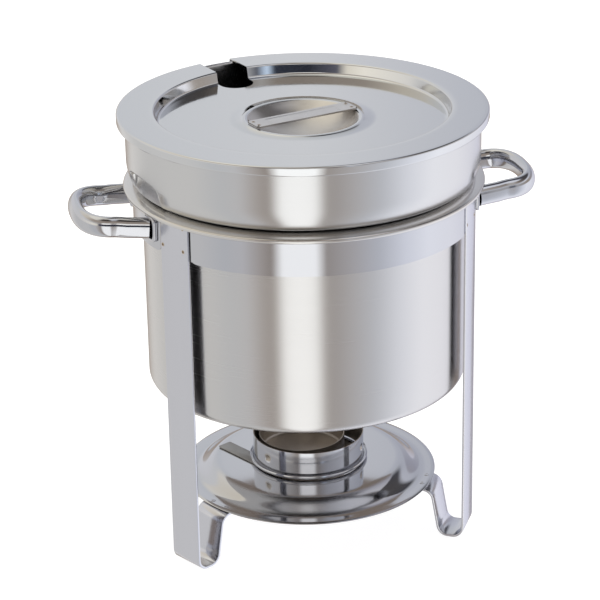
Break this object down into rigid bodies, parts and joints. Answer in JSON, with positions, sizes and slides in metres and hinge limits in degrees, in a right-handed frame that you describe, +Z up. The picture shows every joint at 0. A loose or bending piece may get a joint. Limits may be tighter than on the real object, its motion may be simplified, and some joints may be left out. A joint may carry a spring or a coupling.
{
  "type": "soup kettle",
  "caption": "Covered soup kettle: food inset in a round water pan on a legged strap stand, with carry handles, a slotted lid and a fuel holder on the tray below.",
  "frame": {"origin": "on the kettle's upright axis at table height", "axes": "+Z up, the carry handles along X, the open side between the front legs towards -Y"},
  "size_m": [0.385, 0.3, 0.3645],
  "materials": {
    "brushed_stainless": "brushed round the body",
    "satin_stainless": "fine satin, nearly bright",
    "polished_stainless": "mirror polished",
    "plain_stainless": "plain mill finish"
  },
  "bodies": {
    "stand": {"band_front": "polished_stainless", "band_left": "polished_stainless", "band_right": "polished_stainless", "leg_front_left": "satin_stainless", "leg_front_right": "satin_stainless", "leg_back": "satin_stainless", "fuel_tray": "polished_stainless", "carry_handle_left": "polished_stainless", "carry_handle_right": "polished_stainless", "handle_plate_left_front": "polished_stainless", "handle_plate_left_back": "polished_stainless", "handle_plate_right_front": "polished_stainless", "handle_plate_right_back": "polished_stainless"},
    "fuel_holder": {"fuel_ring": "polished_stainless", "fuel_holder_grip": "satin_stainless"},
    "fuel_cup": {"fuel_cup": "plain_stainless"},
    "water_pan": {"water_pan": "brushed_stainless"},
    "inset": {"food_inset": "brushed_stainless"},
    "lid": {"lid_cover": "satin_stainless", "lid_strap_handle": "satin_stainless"}
  },
  "joints": [
    {"name": "water_pan_lift", "type": "slide", "parent": "stand", "child": "water_pan", "axis": [0, 0, 1], "range_m": [0, 0.2]},
    {"name": "inset_lift", "type": "slide", "parent": "water_pan", "child": "inset", "axis": [0, 0, 1], "range_m": [0, 0.175]},
    {"name": "lid_lift", "type": "slide", "parent": "inset", "child": "lid", "axis": [0, 0, 1], "range_m": [0, 0.06]},
    {"name": "fuel_holder_slide", "type": "slide", "parent": "stand", "child": "fuel_holder", "axis": [0, -1, 0], "range_m": [0, 0.2]},
    {"name": "fuel_cup_lift", "type": "slide", "parent": "fuel_holder", "child": "fuel_cup", "axis": [0, 0, 1], "range_m": [0, 0.055]}
  ]
}
